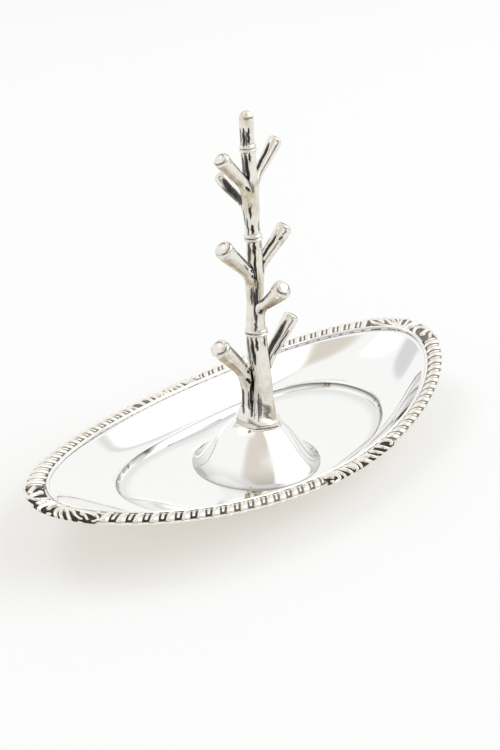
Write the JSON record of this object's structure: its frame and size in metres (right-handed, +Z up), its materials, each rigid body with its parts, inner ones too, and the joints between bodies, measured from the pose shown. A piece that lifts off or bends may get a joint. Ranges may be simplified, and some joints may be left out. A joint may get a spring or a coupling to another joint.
{
  "type": "ring tree",
  "caption": "Ring holder: a bark-textured metal tree with short capped twigs stands on a mound in a boat-shaped oval dish with a gadroon border and shell mounts.",
  "frame": {"origin": "middle of the overall box at the level of the flat underside that the dish rests on", "axes": "+Z up the tree, +X along the dish's length towards the shell mount that is far and to the right in the picture, +Y towards the back mount"},
  "size_m": [0.1414, 0.0666, 0.0881],
  "materials": {
    "polished_silver_plate": "bright polished silver plate on pressed brass, near mirror, no lacquer",
    "oxidised_cast_border": "cast silver-plated mounts, high points polished, recesses oxidised dark",
    "cast_silver_bark": "cast silver-plated bark, burnished bright, with dark oxidised grooves",
    "plain_steel": "plain turned steel, dull"
  },
  "bodies": {
    "root": {"dish": "polished_silver_plate", "bead_wire": "polished_silver_plate", "gadroon_back_right": "oxidised_cast_border", "gadroon_back_left": "oxidised_cast_border", "gadroon_front_left": "oxidised_cast_border", "gadroon_front_right": "oxidised_cast_border", "shell_mount_right": "oxidised_cast_border", "shell_mount_back": "oxidised_cast_border", "shell_mount_left": "oxidised_cast_border", "shell_mount_front": "oxidised_cast_border", "centre_mound": "polished_silver_plate", "tree_trunk": "cast_silver_bark", "twig_top_right": "cast_silver_bark", "twig_top_left": "cast_silver_bark", "twig_top_back": "cast_silver_bark", "twig_middle_right": "cast_silver_bark", "twig_middle_left": "cast_silver_bark", "twig_middle_front": "cast_silver_bark", "twig_low_right": "cast_silver_bark", "twig_low_left": "cast_silver_bark", "fixing_stud": "plain_steel", "fixing_washer": "plain_steel", "fixing_nut": "plain_steel"}
  },
  "joints": []
}
